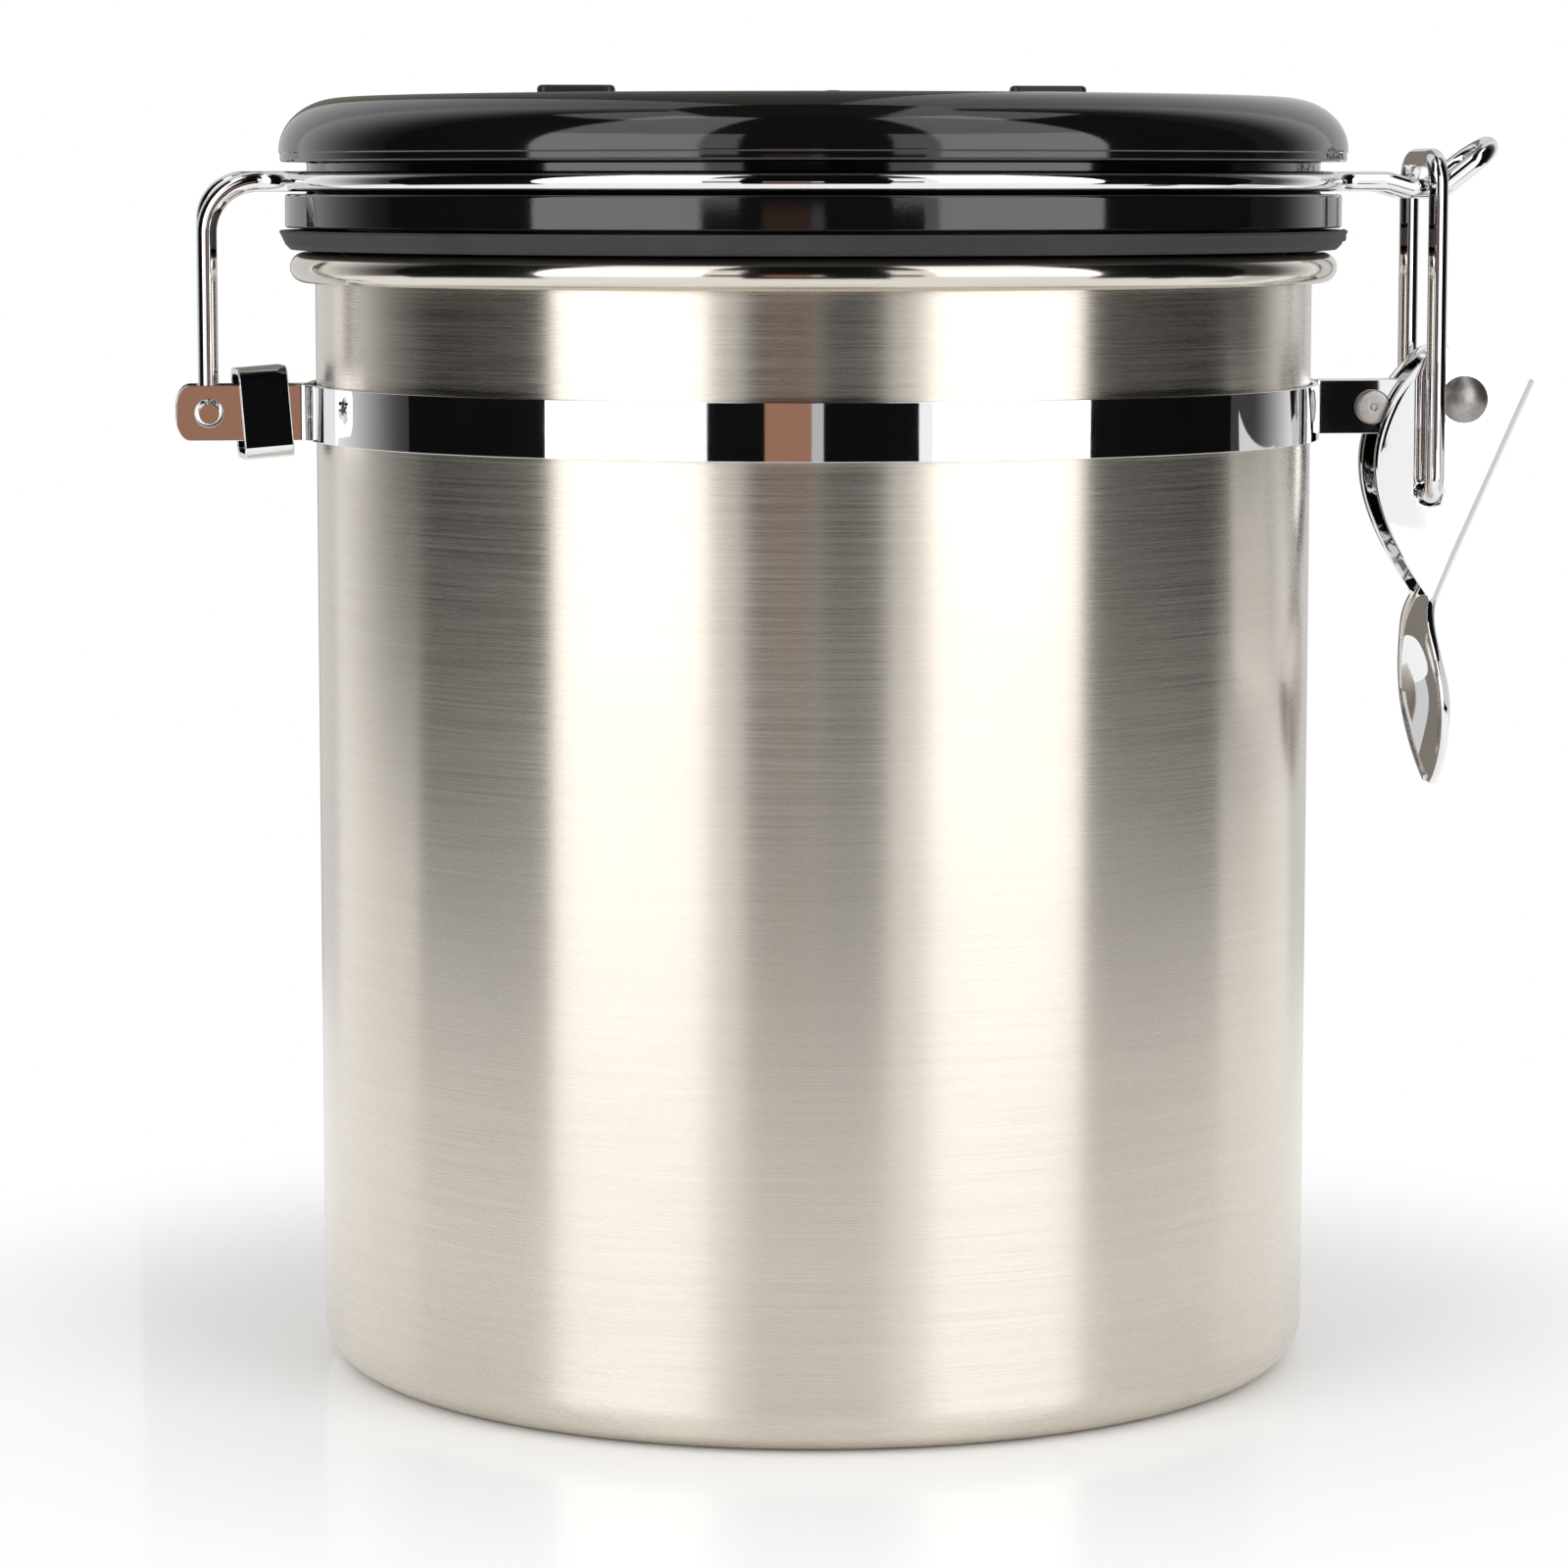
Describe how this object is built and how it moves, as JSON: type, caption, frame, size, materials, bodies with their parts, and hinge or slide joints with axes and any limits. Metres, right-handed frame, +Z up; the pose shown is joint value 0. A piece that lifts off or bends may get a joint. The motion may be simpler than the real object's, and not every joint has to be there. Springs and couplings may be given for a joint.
{
  "type": "coffee canister",
  "caption": "Round steel coffee canister with a clamp band, an over-centre wire-bail latch and a hinged lid that carries a date dial and a vent valve.",
  "frame": {"origin": "centre of the flat base, on the surface that the can stands on", "axes": "+X from the lid's hinge to the latch, +Z up the can, +Y to the rear as the picture looks at it"},
  "size_m": [0.1655, 0.1284, 0.1542],
  "materials": {
    "brushed_steel": "brushed round the can, satin",
    "chrome": "bright plated",
    "rivet": "satin",
    "black_gloss": "gloss black moulding",
    "gasket": "matte",
    "liner": "satin moulding",
    "silicone": "matte, milky",
    "filter": "paper",
    "dial": "satin moulding"
  },
  "bodies": {
    "root": {"canister_body": "brushed_steel", "band_front": "chrome", "band_rear": "chrome", "band_keeper": "chrome", "ear_rivet": "rivet", "ear_spacer": "rivet", "latch_pin": "rivet", "latch_spacer": "rivet"},
    "lid": {"lid_wire": "chrome", "lid_cap": "black_gloss", "lid_gasket": "gasket", "lid_liner": "liner", "valve_filter": "filter", "valve_cover": "liner", "vent_cap": "black_gloss", "dial_bezel": "black_gloss"},
    "flap": {"valve_flap": "silicone"},
    "day_ring": {"day_ring": "dial"},
    "month_dial": {"month_dial": "dial"},
    "lever": {"latch_lever": "chrome"},
    "bail": {"latch_bail": "chrome"}
  },
  "joints": [
    {"name": "lid_hinge", "type": "hinge", "parent": "root", "child": "lid", "pos_m": [-0.0729, 0, 0.1153], "axis": [0, -1, 0], "range_deg": [0, 180]},
    {"name": "day_spin", "type": "hinge", "parent": "lid", "child": "day_ring", "pos_m": [0, 0, 0.1504], "axis": [0, 0, 1], "continuous": true},
    {"name": "month_spin", "type": "hinge", "parent": "lid", "child": "month_dial", "pos_m": [0, 0, 0.1504], "axis": [0, 0, 1], "continuous": true},
    {"name": "flap_lift", "type": "slide", "parent": "lid", "child": "flap", "axis": [0, 0, 1], "range_m": [0, 0.0008]},
    {"name": "lever_pivot", "type": "hinge", "parent": "root", "child": "lever", "pos_m": [0.0797, 0, 0.1162], "axis": [0, -1, 0], "range_deg": [0, 130]},
    {"name": "bail_pivot", "type": "hinge", "parent": "lever", "child": "bail", "pos_m": [0.0754, 0, 0.1048], "axis": [0, -1, 0], "range_deg": [-91, 0]}
  ],
  "couplings": [
    {"joint": "bail_pivot", "follows": "lever_pivot", "ratio": -0.7}
  ]
}
